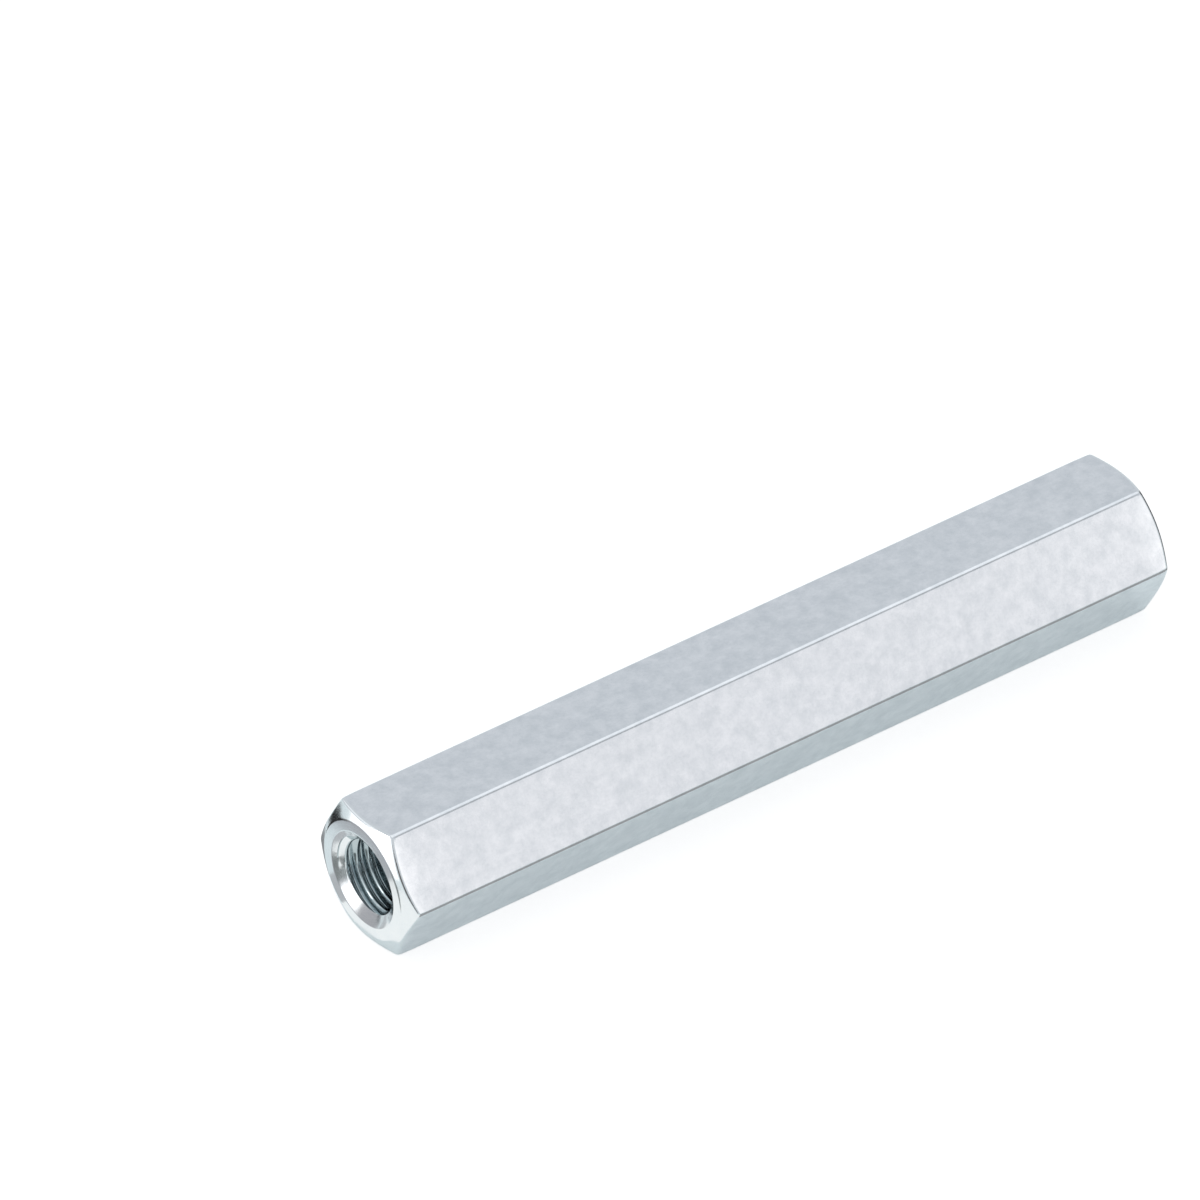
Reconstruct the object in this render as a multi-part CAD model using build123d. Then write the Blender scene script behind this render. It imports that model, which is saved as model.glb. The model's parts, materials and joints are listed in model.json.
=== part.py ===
from build123d import *
import math
import os

# Long coupling nut for joining two M12 studs end to end: one length of drawn
# hexagonal bar, chamfered at both ends, drilled and tapped right through.
#
# Frame: millimetres, X along the bore, +Z up out of the top flat, origin on
# the bore's axis half way along the nut. It lies on its lower flat.

# Driving dimensions
length = 120.0  # over the two end faces
across_flats = 18.8  # 19 mm spanner size, the bar drawn inside its minus tolerance
bar_edge_radius = 0.7  # drawn round between two neighbouring flats
thread_diameter = 12.0  # nominal, at the thread's roots
thread_pitch = 1.75  # coarse series
mouth_allowance = 1.4  # the countersink's mouth over the nominal thread
mouth_angle = 120.0  # included angle of the countersink
mouth_edge_radius = 0.5  # soft turn from the countersink on to the end face
face_ring_width = 1.55  # flat ring of the end face, round the mouth
face_edge_radius = 0.8  # soft turn where the chamfer leaves the end face
chamfer_angle = 25.0  # degrees, from the end face back to the bar's corners

# A 60 degree metric thread: its crests in a nut stand five eighths of the
# sharp triangle's height inside the nominal diameter.
sharp_thread_height = thread_pitch * math.sqrt(3) / 2
crest_height = sharp_thread_height * 5 / 8

bore_radius = thread_diameter / 2 - crest_height
mouth_radius = (thread_diameter + mouth_allowance) / 2
mouth_depth = (mouth_radius - bore_radius) / math.tan(math.radians(mouth_angle / 2))
face_radius = mouth_radius + face_ring_width


def hexagonal_bar():
    """The drawn bar: six flats with a rolled edge between each two."""
    with BuildPart() as bar:
        # The first corner lies on the sketch's own X, which is world Y, so two flats are level.
        with BuildSketch(Plane.YZ):
            RegularPolygon(radius=across_flats / 2, side_count=6, major_radius=False)
        extrude(amount=length / 2, both=True)
        fillet(bar.edges().filter_by(Axis.X), radius=bar_edge_radius)
    return bar.part


def end_outline(side):
    """The turned section at one end, from the bore out to well past the bar's corners."""
    end = length / 2
    past_corners = across_flats
    chamfer_run = (past_corners - face_radius) * math.tan(math.radians(chamfer_angle))
    return [
        (side * (end - mouth_depth), bore_radius),
        (side * end, mouth_radius),
        (side * end, face_radius),
        (side * (end - chamfer_run), past_corners),
    ]


def turned_envelope():
    """What turning and drilling leave: bore, countersinks, end faces and chamfers."""
    outline = end_outline(1) + end_outline(-1)[::-1]
    edge_rounds = ((mouth_radius, mouth_edge_radius), (face_radius, face_edge_radius))
    with BuildPart() as envelope:
        with BuildSketch(Plane.XY) as section:
            Polygon(*outline, align=None)
            for edge_height, edge_radius in edge_rounds:
                turns = [v for v in section.vertices() if math.isclose(v.Y, edge_height, abs_tol=1e-6)]
                fillet(turns, radius=edge_radius)
        revolve(axis=Axis.X)
    return envelope.part


def coupling_nut():
    """The finished nut: the bar, wherever the turned envelope leaves metal."""
    return hexagonal_bar() & turned_envelope()


os.makedirs("parts", exist_ok=True)
nut = coupling_nut()
nut.label = "nut_body"
export_step(nut, "parts/nut_body.step")
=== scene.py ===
import json
import math

import bpy
from mathutils import Matrix, Vector


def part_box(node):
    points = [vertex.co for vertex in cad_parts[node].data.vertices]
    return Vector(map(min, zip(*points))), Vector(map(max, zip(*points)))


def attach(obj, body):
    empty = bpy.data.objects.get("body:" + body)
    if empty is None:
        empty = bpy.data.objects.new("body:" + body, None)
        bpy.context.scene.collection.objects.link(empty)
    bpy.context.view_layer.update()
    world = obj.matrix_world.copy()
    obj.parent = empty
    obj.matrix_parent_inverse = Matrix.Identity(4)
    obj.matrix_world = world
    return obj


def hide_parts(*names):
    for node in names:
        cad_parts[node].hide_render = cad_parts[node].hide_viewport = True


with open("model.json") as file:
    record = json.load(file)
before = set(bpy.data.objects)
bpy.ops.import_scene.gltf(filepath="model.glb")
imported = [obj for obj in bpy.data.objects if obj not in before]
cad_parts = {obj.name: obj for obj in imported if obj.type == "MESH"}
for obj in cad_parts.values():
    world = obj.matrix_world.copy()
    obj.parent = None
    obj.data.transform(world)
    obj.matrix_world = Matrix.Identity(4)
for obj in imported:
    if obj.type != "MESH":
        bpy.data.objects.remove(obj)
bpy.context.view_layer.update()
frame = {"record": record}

MM = 0.001

# Sizes that the solid has too, under the same names in its own source.
thread_pitch = 1.75 * MM
mouth_angle = math.radians(120)  # the countersink's included angle
mouth_edge_radius = 0.5 * MM
face_edge_radius = 0.8 * MM
chamfer_angle = math.radians(25)

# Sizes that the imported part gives: the box of its one solid, and its mounts.
mounts = {m["name"]: m for m in frame["record"]["mounts"]}
low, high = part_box("nut_body")
near, far = low.x, high.x  # the end towards the camera, and the other one
half_length = high.x
half_flats = high.z
crest_radius = mounts["thread_right"]["dims"]["r_mm"] * MM
mouth_depth = half_length - mounts["thread_right"]["pos_m"][0]
mouth_slope = math.tan(mouth_angle / 2)
mouth_radius = crest_radius + mouth_depth * mouth_slope
ring_middle = mounts["end_face_right"]["pos_m"][1]
face_radius = 2 * ring_middle - mouth_radius

# What follows from both.
sharp_thread_height = thread_pitch * math.sqrt(3) / 2  # if its 60 degree flanks met
root_radius = crest_radius + sharp_thread_height * 5 / 8  # the metric thread's depth
half_sector = math.radians(30)  # from a flat's middle to its corner
sharp_corner = half_flats / math.cos(half_sector)
bar_edge_radius = (sharp_corner - high.y) / (1 / math.cos(half_sector) - 1)

# Finer forms that only the dressed part has.
burnished_radius = 0.55 * MM  # plated edge where the chamfer meets the flats and corners
roll_off_reach = 4.5 * MM  # the flats fall away a little next to each end
roll_off_drop = 0.12 * MM
roll_off_end = 1.02 * roll_off_reach  # where the mesh takes the flats as level
crest_round = 0.34 * MM  # the thread's plated crests and roots
root_round = 0.17 * MM
flank_turn = math.radians(60)  # from a crest or root round to the thread's flank
thread_start = 0.28  # where the thread begins, in turns

# How finely the mesh follows those forms.
FLAT_COLUMNS = 11  # columns of points inside each flat
CORNER_TURNS = (-30, -15, 0, 15, 30)  # degrees round each rolled edge
EDGE_STEPS = 4  # round each edge of the turned ends
RING_SHARES = (0.08, 0.5, 0.94)  # rows across the end ring
CHAMFER_SHARES = (0.1, 0.5, 0.9)  # rows across the chamfer
FLAT_SHARES = (0.06, 0.2, 0.4, 0.6, 0.8, 1.0)  # rows to where the flat runs level
CREST_TURNS = (0, 20, 40, 60)  # degrees round half a crest
ROOT_TURNS = (60, 0)  # degrees round half a root
SETTLING_ROUNDS = 8  # to find where the chamfer meets the falling flat
SPARE_TURNS = 4  # turns of thread past the nut's length, which the ends cut off
WELD = 0.03 * MM  # thread points this close to a mouth's edge are its own
ON_CONE = 0.02 * MM  # faces this close to the countersink belong to it
FACES_OUT = 0.6  # least part of such a face's normal along the bore
SHARP_ANGLE = math.radians(38)
ZONES = ("flat", "turned", "thread")

# How the plate's marks lie.
BUMP_DEPTH = 0.02 * MM
TINT_STOPS = (0.34, 0.66)  # the noise's heights that give the dark and the light tint
DRAWN_STRETCH = 0.03  # how slowly drawing marks change along the bar


def column_angles():
    """Angles round the bore, from +Y towards +Z, with the outline's radius at each."""
    angles, radii = [], []
    centre = (half_flats - bar_edge_radius) / math.cos(half_sector)
    flat_end = math.atan2((half_flats - bar_edge_radius) * math.tan(half_sector), half_flats)
    for sector in range(6):
        corner = 2 * half_sector * sector
        for turn in CORNER_TURNS:
            t = math.radians(turn)
            along = centre + bar_edge_radius * math.cos(t)
            across = bar_edge_radius * math.sin(t)
            angles.append(corner + math.atan2(across, along))
            radii.append(math.hypot(along, across))
        for step in range(1, FLAT_COLUMNS + 1):
            offset = flat_end * (2 * step / (FLAT_COLUMNS + 1) - 1)
            angles.append(corner + half_sector + offset)
            radii.append(half_flats / math.cos(offset))
    return angles, radii


def arc(start_turn, end_turn, centre, radius):
    """Points (inset from the end face, radius from the axis) along a rounded edge."""
    points = []
    for i in range(EDGE_STEPS + 1):
        turn = start_turn + (end_turn - start_turn) * i / EDGE_STEPS
        points.append((centre[0] - radius * math.cos(turn), centre[1] + radius * math.sin(turn)))
    return points


def between(start, end, shares):
    """Points at these shares of the way from one point to another."""
    return [tuple(a + (b - a) * share for a, b in zip(start, end)) for share in shares]


def flat_drop(inset):
    """How far the bar's surface has fallen at this distance from the end face."""
    if inset >= roll_off_reach:
        return 0.0
    return roll_off_drop * (1 - inset / roll_off_reach) ** 2


def mouth_edge():
    """The soft edge from the countersink to the end face."""
    turn = math.radians(90) - mouth_angle / 2
    centre = (mouth_edge_radius, mouth_radius + mouth_edge_radius * math.tan(turn / 2))
    return arc(-turn, 0, centre, mouth_edge_radius)


def face_edge():
    """The soft edge from the end face to the chamfer."""
    centre = (face_edge_radius, face_radius - face_edge_radius * math.tan(chamfer_angle / 2))
    return arc(0, chamfer_angle, centre, face_edge_radius)


def bar_edge(bar_radius):
    """The burnished edge from the chamfer to the bar, where the bar has this radius."""
    outer = bar_radius
    for _ in range(SETTLING_ROUNDS):
        outer = bar_radius - flat_drop((outer - face_radius) * math.tan(chamfer_angle))
    turn = math.radians(90) - chamfer_angle
    inset = (outer - face_radius) * math.tan(chamfer_angle) + burnished_radius * math.tan(turn / 2)
    centre = (inset, outer - burnished_radius)
    return arc(chamfer_angle, math.radians(90), centre, burnished_radius)


def end_profile(bar_radius):
    """(inset, radius, zone) from the countersink's edge out to the level flat, for one column."""
    mouth, face, bar = mouth_edge(), face_edge(), bar_edge(bar_radius)
    ring = between(mouth[-1], face[0], RING_SHARES)
    chamfer = between(face[-1], bar[0], CHAMFER_SHARES)
    insets = [bar[-1][0] + (roll_off_end - bar[-1][0]) * share for share in FLAT_SHARES]
    turned = [(*point, "turned") for point in mouth + ring + face + chamfer + bar]
    return turned + [(inset, bar_radius - flat_drop(inset), "flat") for inset in insets]


def thread_profile():
    """(place along the axis, radius) of the thread's points over one pitch, from crest to crest."""
    crest_half, root_half = thread_pitch / 8, thread_pitch / 16
    crest_end = crest_half - crest_round * math.tan(flank_turn / 2)
    root_start = thread_pitch / 2 - root_half + root_round * math.tan(flank_turn / 2)
    half = []
    for turn in CREST_TURNS:
        t = math.radians(turn)
        half.append((crest_end + crest_round * math.sin(t), crest_radius + crest_round * (1 - math.cos(t))))
    for turn in ROOT_TURNS:
        t = math.radians(turn)
        half.append((root_start - root_round * math.sin(t), root_radius - root_round * (1 - math.cos(t))))
    return half + [(thread_pitch - x, r) for x, r in reversed(half)]


def countersink_radius(x):
    """The countersinks' surface at this place along the axis."""
    return mouth_radius - (half_length - abs(x)) * mouth_slope


def thread_column(angle, profile, turns):
    """(x, radius) of every thread point in one column, with the countersinks cut in."""
    lead = thread_pitch * (angle / (2 * math.pi) - thread_start)
    start = lead - half_length - SPARE_TURNS / 2 * thread_pitch
    xs = [start + lap * thread_pitch + x for lap in range(turns) for x, _ in profile]
    rs = [r for lap in range(turns) for _, r in profile]
    cut = [countersink_radius(x) - r for x, r in zip(xs, rs)]
    out_x, out_r = list(xs), [r + max(0.0, c) for r, c in zip(rs, cut)]
    for i in range(len(xs) - 1):
        if (cut[i] > 0) == (cut[i + 1] > 0):
            continue
        share = cut[i] / (cut[i] - cut[i + 1])
        hidden = i if cut[i] > 0 else i + 1
        out_x[hidden] = xs[i] + (xs[i + 1] - xs[i]) * share
        out_r[hidden] = rs[i] + (rs[i + 1] - rs[i]) * share
    return list(zip(out_x, out_r))


class Shell:
    """Points, faces and each face's zone, gathered column by column round the bore."""

    def __init__(self):
        self.points, self.faces, self.zones = [], [], []

    def add_point(self, x, radius, angle):
        """Adds a point and gives its number."""
        self.points.append((x, radius * math.cos(angle), radius * math.sin(angle)))
        return len(self.points) - 1

    def add_face(self, corners, zone):
        """Adds a face, unless less than a triangle is left of it."""
        corners = [c for n, c in enumerate(corners) if c != corners[n - 1]]
        if len(set(corners)) >= 3:
            self.faces.append(tuple(corners))
            self.zones.append(zone)


def add_outside(shell, angles, radii):
    """Outside and both ends, from one mouth's edge to the other's. Gives each column's points."""
    columns = []
    for angle, radius in zip(angles, radii):
        profile = end_profile(radius)
        right = [(half_length - inset, r) for inset, r, _ in profile]
        left = [(inset - half_length, r) for inset, r, _ in reversed(profile)]
        columns.append([shell.add_point(x, r, angle) for x, r in right + left])
    end_zones = [zone for _, _, zone in profile[1:]]
    row_zones = end_zones + ["flat"] + end_zones[::-1]
    for j, column in enumerate(columns):
        after = columns[(j + 1) % len(columns)]
        for i, zone in enumerate(row_zones):
            shell.add_face([column[i], column[i + 1], after[i + 1], after[i]], zone)
    return columns


def add_thread(shell, angles, outside):
    """The right-hand thread through the bore, closed on to the mouths' edges."""
    profile = thread_profile()
    turns = math.ceil(2 * half_length / thread_pitch) + SPARE_TURNS
    rows = turns * len(profile)
    thread_end = half_length - mouth_edge()[0][0] - WELD
    columns = []
    for angle, (right_edge, *_, left_edge) in zip(angles, outside):
        column = []
        for x, r in thread_column(angle, profile, turns):
            if x < -thread_end:
                column.append(left_edge)
            elif x > thread_end:
                column.append(right_edge)
            else:
                column.append(shell.add_point(x, r, angle))
        columns.append(column)

    def number(j, row):
        """The point in this column and row. Once round the bore, the rows are one turn further on."""
        if j == len(columns):
            j, row = 0, row + len(profile)
        if row < 0:
            return outside[j][-1]
        if row >= rows:
            return outside[j][0]
        return columns[j][row]

    for j in range(len(columns)):
        for row in range(-len(profile), rows):
            corners = [number(j, row), number(j, row + 1), number(j + 1, row + 1), number(j + 1, row)]
            shell.add_face(corners, "thread")


def in_countersink(polygon):
    """Whether this face of the thread's mesh is a countersink's surface."""
    x, y, z = polygon.center
    in_mouth = abs(x) > half_length - mouth_depth
    on_cone = math.hypot(y, z) > countersink_radius(x) - ON_CONE
    return in_mouth and on_cone and polygon.normal.x * math.copysign(1, x) > FACES_OUT


def nut_mesh(materials):
    """The dressed nut as one closed mesh, with its materials by zone."""
    angles, radii = column_angles()
    shell = Shell()
    outside = add_outside(shell, angles, radii)
    add_thread(shell, angles, outside)
    mesh = bpy.data.meshes.new("coupling_nut")
    mesh.from_pydata(shell.points, [], shell.faces)
    mesh.validate(verbose=False)
    mesh.update()
    for zone in ZONES:
        mesh.materials.append(materials[zone])
    for polygon, zone in zip(mesh.polygons, shell.zones):
        if zone == "thread" and in_countersink(polygon):
            zone = "turned"
        polygon.material_index = ZONES.index(zone)
        polygon.use_smooth = True
    mesh.set_sharp_from_angle(angle=SHARP_ANGLE)
    return mesh


def dress_nut(materials):
    """Puts the nut in the scene, its normals evened so that the flats shade flat."""
    nut = bpy.data.objects.new("coupling_nut", nut_mesh(materials))
    bpy.context.scene.collection.objects.link(nut)
    even = nut.modifiers.new("even_normals", "WEIGHTED_NORMAL")
    even.mode = "FACE_AREA"
    even.keep_sharp = True
    evaluated = nut.evaluated_get(bpy.context.evaluated_depsgraph_get())
    evened = bpy.data.meshes.new_from_object(evaluated)
    nut.modifiers.clear()
    nut.data = evened
    nut.data.name = "coupling_nut"
    return nut


def node(tree, kind, **values):
    """A node with its inputs and properties set."""
    made = tree.nodes.new(kind)
    for name, value in values.items():
        if name in made.inputs:
            made.inputs[name].default_value = value
        else:
            setattr(made, name, value)
    return made


def noise(tree, place, scale, detail, roughness=0.5):
    """A noise's height at each place."""
    made = node(tree, "ShaderNodeTexNoise", Scale=scale, Detail=detail, Roughness=roughness)
    tree.links.new(place, made.inputs["Vector"])
    return made.outputs["Fac"]


def bump(tree, height, strength, below=None):
    """A normal tilted by a height, over another bump if one is given."""
    made = node(tree, "ShaderNodeBump", Strength=strength, Distance=BUMP_DEPTH)
    tree.links.new(height, made.inputs["Height"])
    if below:
        tree.links.new(below, made.inputs["Normal"])
    return made.outputs["Normal"]


def turning_place(tree, place):
    """Turning marks run round the axis: they change with radius and depth only."""
    parts = node(tree, "ShaderNodeSeparateXYZ")
    across = node(tree, "ShaderNodeCombineXYZ")
    radius = node(tree, "ShaderNodeVectorMath", operation="LENGTH")
    along = node(tree, "ShaderNodeCombineXYZ")
    tree.links.new(place, parts.inputs["Vector"])
    tree.links.new(parts.outputs["Y"], across.inputs["X"])
    tree.links.new(parts.outputs["Z"], across.inputs["Y"])
    tree.links.new(across.outputs["Vector"], radius.inputs[0])
    tree.links.new(radius.outputs["Value"], along.inputs["X"])
    tree.links.new(parts.outputs["X"], along.inputs["Y"])
    return along.outputs["Vector"]


def drawing_place(tree, place):
    """Drawing marks run along the bar: they change slowly with X."""
    stretch = node(tree, "ShaderNodeVectorMath", operation="MULTIPLY")
    stretch.inputs[1].default_value = (DRAWN_STRETCH, 1, 1)
    tree.links.new(place, stretch.inputs[0])
    return stretch.outputs["Vector"]


def plate_material(name, dark, light, rough, marks_place, marks_scale, marks_strength, mottle_strength):
    """Blue-white zinc plate: mottled colour and gloss, and the marks of how the face was made."""
    material = bpy.data.materials.new(name)
    material.use_nodes = True
    tree = material.node_tree
    shader = tree.nodes["Principled BSDF"]
    shader.inputs["Metallic"].default_value = 1.0
    place = node(tree, "ShaderNodeTexCoord").outputs["Object"]

    tint = node(tree, "ShaderNodeValToRGB")
    for stop, position, colour in zip(tint.color_ramp.elements, TINT_STOPS, (dark, light)):
        stop.position = position
        stop.color = (*colour, 1)
    cloud = noise(tree, place, scale=500, detail=5, roughness=0.70)
    tree.links.new(cloud, tint.inputs["Fac"])
    tree.links.new(tint.outputs["Color"], shader.inputs["Base Color"])

    mottle = noise(tree, place, scale=620, detail=4, roughness=0.6)
    gloss = node(tree, "ShaderNodeMapRange",
                 **{"From Min": 0.3, "From Max": 0.7, "To Min": rough[0], "To Max": rough[1]})
    tree.links.new(mottle, gloss.inputs["Value"])
    tree.links.new(gloss.outputs["Result"], shader.inputs["Roughness"])

    marks = noise(tree, marks_place(tree, place), marks_scale, detail=3)
    tilt = bump(tree, marks, marks_strength, bump(tree, mottle, mottle_strength))
    tree.links.new(tilt, shader.inputs["Normal"])
    return material


def floor_material():
    """Pale floor that shows white, also to the metal, and still takes the nut's shadow."""
    material = bpy.data.materials.new("floor")
    material.use_nodes = True
    tree = material.node_tree
    tree.nodes.clear()
    rays = node(tree, "ShaderNodeLightPath").outputs
    paint = node(tree, "ShaderNodeMix", data_type="RGBA")
    paint.inputs["A"].default_value = (0.77, 0.84, 0.835, 1)  # as other things see it
    paint.inputs["B"].default_value = (0.44, 0.44, 0.44, 1)  # under the white glow below
    diffuse = node(tree, "ShaderNodeBsdfDiffuse")
    seen = node(tree, "ShaderNodeMath", operation="MULTIPLY")
    seen.inputs[1].default_value = 0.74
    mirrored = node(tree, "ShaderNodeMath", operation="MULTIPLY")
    mirrored.inputs[1].default_value = 0.17
    total = node(tree, "ShaderNodeMath", operation="ADD")
    glow = node(tree, "ShaderNodeEmission", Color=(1, 1, 1, 1))
    both = node(tree, "ShaderNodeAddShader")
    out = node(tree, "ShaderNodeOutputMaterial")
    for source, target in (
            (rays["Is Camera Ray"], paint.inputs["Factor"]),
            (paint.outputs["Result"], diffuse.inputs["Color"]),
            (rays["Is Camera Ray"], seen.inputs[0]),
            (rays["Is Glossy Ray"], mirrored.inputs[0]),
            (seen.outputs["Value"], total.inputs[0]),
            (mirrored.outputs["Value"], total.inputs[1]),
            (total.outputs["Value"], glow.inputs["Strength"]),
            (diffuse.outputs["BSDF"], both.inputs[0]),
            (glow.outputs["Emission"], both.inputs[1]),
            (both.outputs["Shader"], out.inputs["Surface"])):
        tree.links.new(source, target)
    return material


def plane(name, size, centre, material, facing=(0, 0, 1)):
    """A flat rectangle, for the floor and for what the metal reflects."""
    half_x, half_y = size[0] / 2, size[1] / 2
    corners = [(-half_x, -half_y, 0), (half_x, -half_y, 0), (half_x, half_y, 0), (-half_x, half_y, 0)]
    mesh = bpy.data.meshes.new(name)
    mesh.from_pydata(corners, [], [(0, 1, 2, 3)])
    mesh.materials.append(material)
    made = bpy.data.objects.new(name, mesh)
    made.rotation_euler = Vector(facing).to_track_quat("Z", "Y").to_euler()
    made.location = centre
    bpy.context.scene.collection.objects.link(made)
    return made


def box_lamp(name, centre, facing, size, radiance, colour=(1, 1, 1)):
    """A soft box of even brightness, added to the world's: 1 is a white sheet in plain light."""
    light = bpy.data.lights.new(name, "AREA")
    light.shape = "RECTANGLE"
    light.size, light.size_y = size
    light.energy = radiance * math.pi * size[0] * size[1]
    light.color = colour
    made = bpy.data.objects.new(name, light)
    made.location = centre
    made.rotation_euler = (-Vector(facing)).to_track_quat("Z", "Y").to_euler()
    bpy.context.scene.collection.objects.link(made)


def card(name, centre, size, facing, shade):
    """A glowing card that only the metal sees in its reflections: a painted reflection, dark or bright,
    which lights nothing and casts no shadow.
    """
    material = bpy.data.materials.new(name)
    material.use_nodes = True
    tree = material.node_tree
    tree.nodes.clear()
    glow = node(tree, "ShaderNodeEmission", Color=(*shade, 1))
    out = node(tree, "ShaderNodeOutputMaterial")
    tree.links.new(glow.outputs["Emission"], out.inputs["Surface"])
    made = plane(name, size, centre, material, facing)
    made.visible_camera = False
    made.visible_diffuse = False
    made.visible_shadow = False


def grey(level):
    """A plain grey of this brightness, where 1 is white."""
    return (level, level, level)


def floor_card(name, x_range, y_range, layer, shade):
    """A painted-reflection card on the floor, in millimetres from the near end's middle; higher layers lie
    on top.
    """
    centre = (near + sum(x_range) / 2 * MM, sum(y_range) / 2 * MM, low.z + layer * 0.1 * MM)
    size = ((x_range[1] - x_range[0]) * MM, (y_range[1] - y_range[0]) * MM)
    card(name, centre, size, (0, 0, 1), shade)


# The nut
materials = {
    "flat": plate_material("zinc_flats", (0.721, 0.749, 0.779), (0.862, 0.878, 0.904), (0.15, 0.23),
                           drawing_place, marks_scale=2200, marks_strength=0.25, mottle_strength=0.7),
    "turned": plate_material("zinc_turned_ends", (0.80, 0.83, 0.85), (0.84, 0.86, 0.87), (0.12, 0.20),
                             turning_place, marks_scale=2600, marks_strength=0.35, mottle_strength=0.2),
    # The thread's plate is given a darker, greyer colour than the ends and flats: painted shade for the
    # bore's depths.
    "thread": plate_material("zinc_thread_painted_shade", (0.43, 0.50, 0.52), (0.49, 0.55, 0.57), (0.06, 0.12),
                             turning_place, marks_scale=2600, marks_strength=0.1, mottle_strength=0.2),
}
nut = dress_nut(materials)
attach(nut, "root")
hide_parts("nut_body")

# Floor and light
FLOOR_SIZE = (6, 6)
plane("floor", FLOOR_SIZE, (0, 0, low.z), floor_material())

world = bpy.data.worlds.new("studio")
bpy.context.scene.world = world
world.use_nodes = True
sky = world.node_tree.nodes["Background"]
sky.inputs["Color"].default_value = (0.675, 0.71, 0.745, 1)
sky.inputs["Strength"].default_value = 1.0

WARM = (1.0, 0.92, 0.86)
box_lamp("overhead_box", (0.15, 0.02, 0.6), (0, 0, -1), (0.9, 0.58), 0.35)
box_lamp("front_box", (0.317, -0.6, 0.155), (0, 1, 0), (0.192, 0.32), 0.21, (1.0, 0.86, 0.80))
box_lamp("front_left_box", (0.10, -0.6, 0.155), (0, 1, 0), (0.242, 0.32), 0.55, WARM)
box_lamp("front_right_box", (0.573, -0.6, 0.155), (0, 1, 0), (0.32, 0.32), 0.55, WARM)
box_lamp("left_box", (-0.6, 0.14, 0.28), (1, 0, 0), (0.7, 0.5), 0.25)
box_lamp("back_left_box", (-0.33, 0.43, 0.33), (0.55, -0.7, -0.5), (0.3, 0.25), 0.3)

# Cards on the floor that only the metal sees: painted reflections, dark and light, on the end ring, the
# countersink and the edges
floor_card("back_left_card", (-34, -4), (26, 64), 3, grey(0.02))
floor_card("mouth_floor_card", (-31, -11), (-4, 9), 4, (0.22, 0.24, 0.24))
floor_card("back_left_floor_card", (-57, -11), (1, 61), 2, (0.42, 0.44, 0.47))
floor_card("ring_floor_card", (-11, -2), (1, 14), 2, (0.50, 0.52, 0.54))
floor_card("left_floor_card", (-31, -1), (-26, 8), 3, (1.0, 1.03, 1.03))
floor_card("back_floor_card", (1, 122), (14, 31), 2, (0.26, 0.27, 0.28))
floor_card("front_floor_card", (-2, 145), (-60, -14), 2, (0.36, 0.37, 0.37))
floor_card("right_floor_card", (129, 185), (-16, 30), 2, grey(0.14))

# Standing cards that only the metal sees: painted highlights on the chamfers and the thread, and painted
# dark reflections at both ends, in the mouth and along the line under the top flat's front edge
card("left_card", (near - 0.050, 0.0095, 0.010), (0.031, 0.040), (1, 0, 0), grey(1.6))
card("mouth_card", (near - 0.016, 0.0155, low.z + 0.005), (0.011, 0.010), (0.79, -0.61, 0),
     (0.42, 0.42, 0.44))
card("near_card", (near - 0.037, -0.041, 0.009), (0.034, 0.036), (0.75, 0.66, 0), grey(0.14))
card("chamfer_card", (near - 0.038, 0.033, 0.006), (0.026, 0.016), (0.75, -0.66, 0), grey(1.5))
card("thread_card", (near - 0.040, 0.013, 0.027), (0.018, 0.026), (0.80, -0.26, -0.53), grey(3.0))
card("right_card", (far + 0.040, -0.008, low.z + 0.015), (0.030, 0.056), (-1, 0, 0), grey(0.08))
card("far_corner_card", (far + 0.060, 0.0175, 0.006), (0.025, 0.031), (-1, 0, 0), grey(0.06))
card("gap_card", (0.28, -0.44, 0.43), (0.30, 0.17), (-0.3, 0.6, -0.6), (0.42, 0.43, 0.44))

# Camera
PIXELS = 1200
view_azimuth = math.radians(-34.304)
view_elevation = math.radians(35.884)
view_roll = math.radians(-2.835)
mm_a_pixel = 0.12691
aim_left, aim_up = 18.60 * MM, 13.05 * MM  # the picture's middle, from the nut's centre
camera_data = bpy.data.cameras.new("camera")
camera_data.lens = 825  # a long lens: the nut's long edges look parallel
camera_data.clip_end = 10
distance = PIXELS * mm_a_pixel * MM * camera_data.lens / camera_data.sensor_width
camera = bpy.data.objects.new("camera", camera_data)
turn = (Matrix.Rotation(view_azimuth, 4, "Z") @ Matrix.Rotation(math.pi / 2 - view_elevation, 4, "X")
        @ Matrix.Rotation(view_roll, 4, "Z"))
offset = turn @ Vector((-aim_left, aim_up, distance))
camera.matrix_world = Matrix.Translation(offset) @ turn
bpy.context.scene.collection.objects.link(camera)
bpy.context.scene.camera = camera

bpy.context.scene.view_settings.view_transform = "Standard"
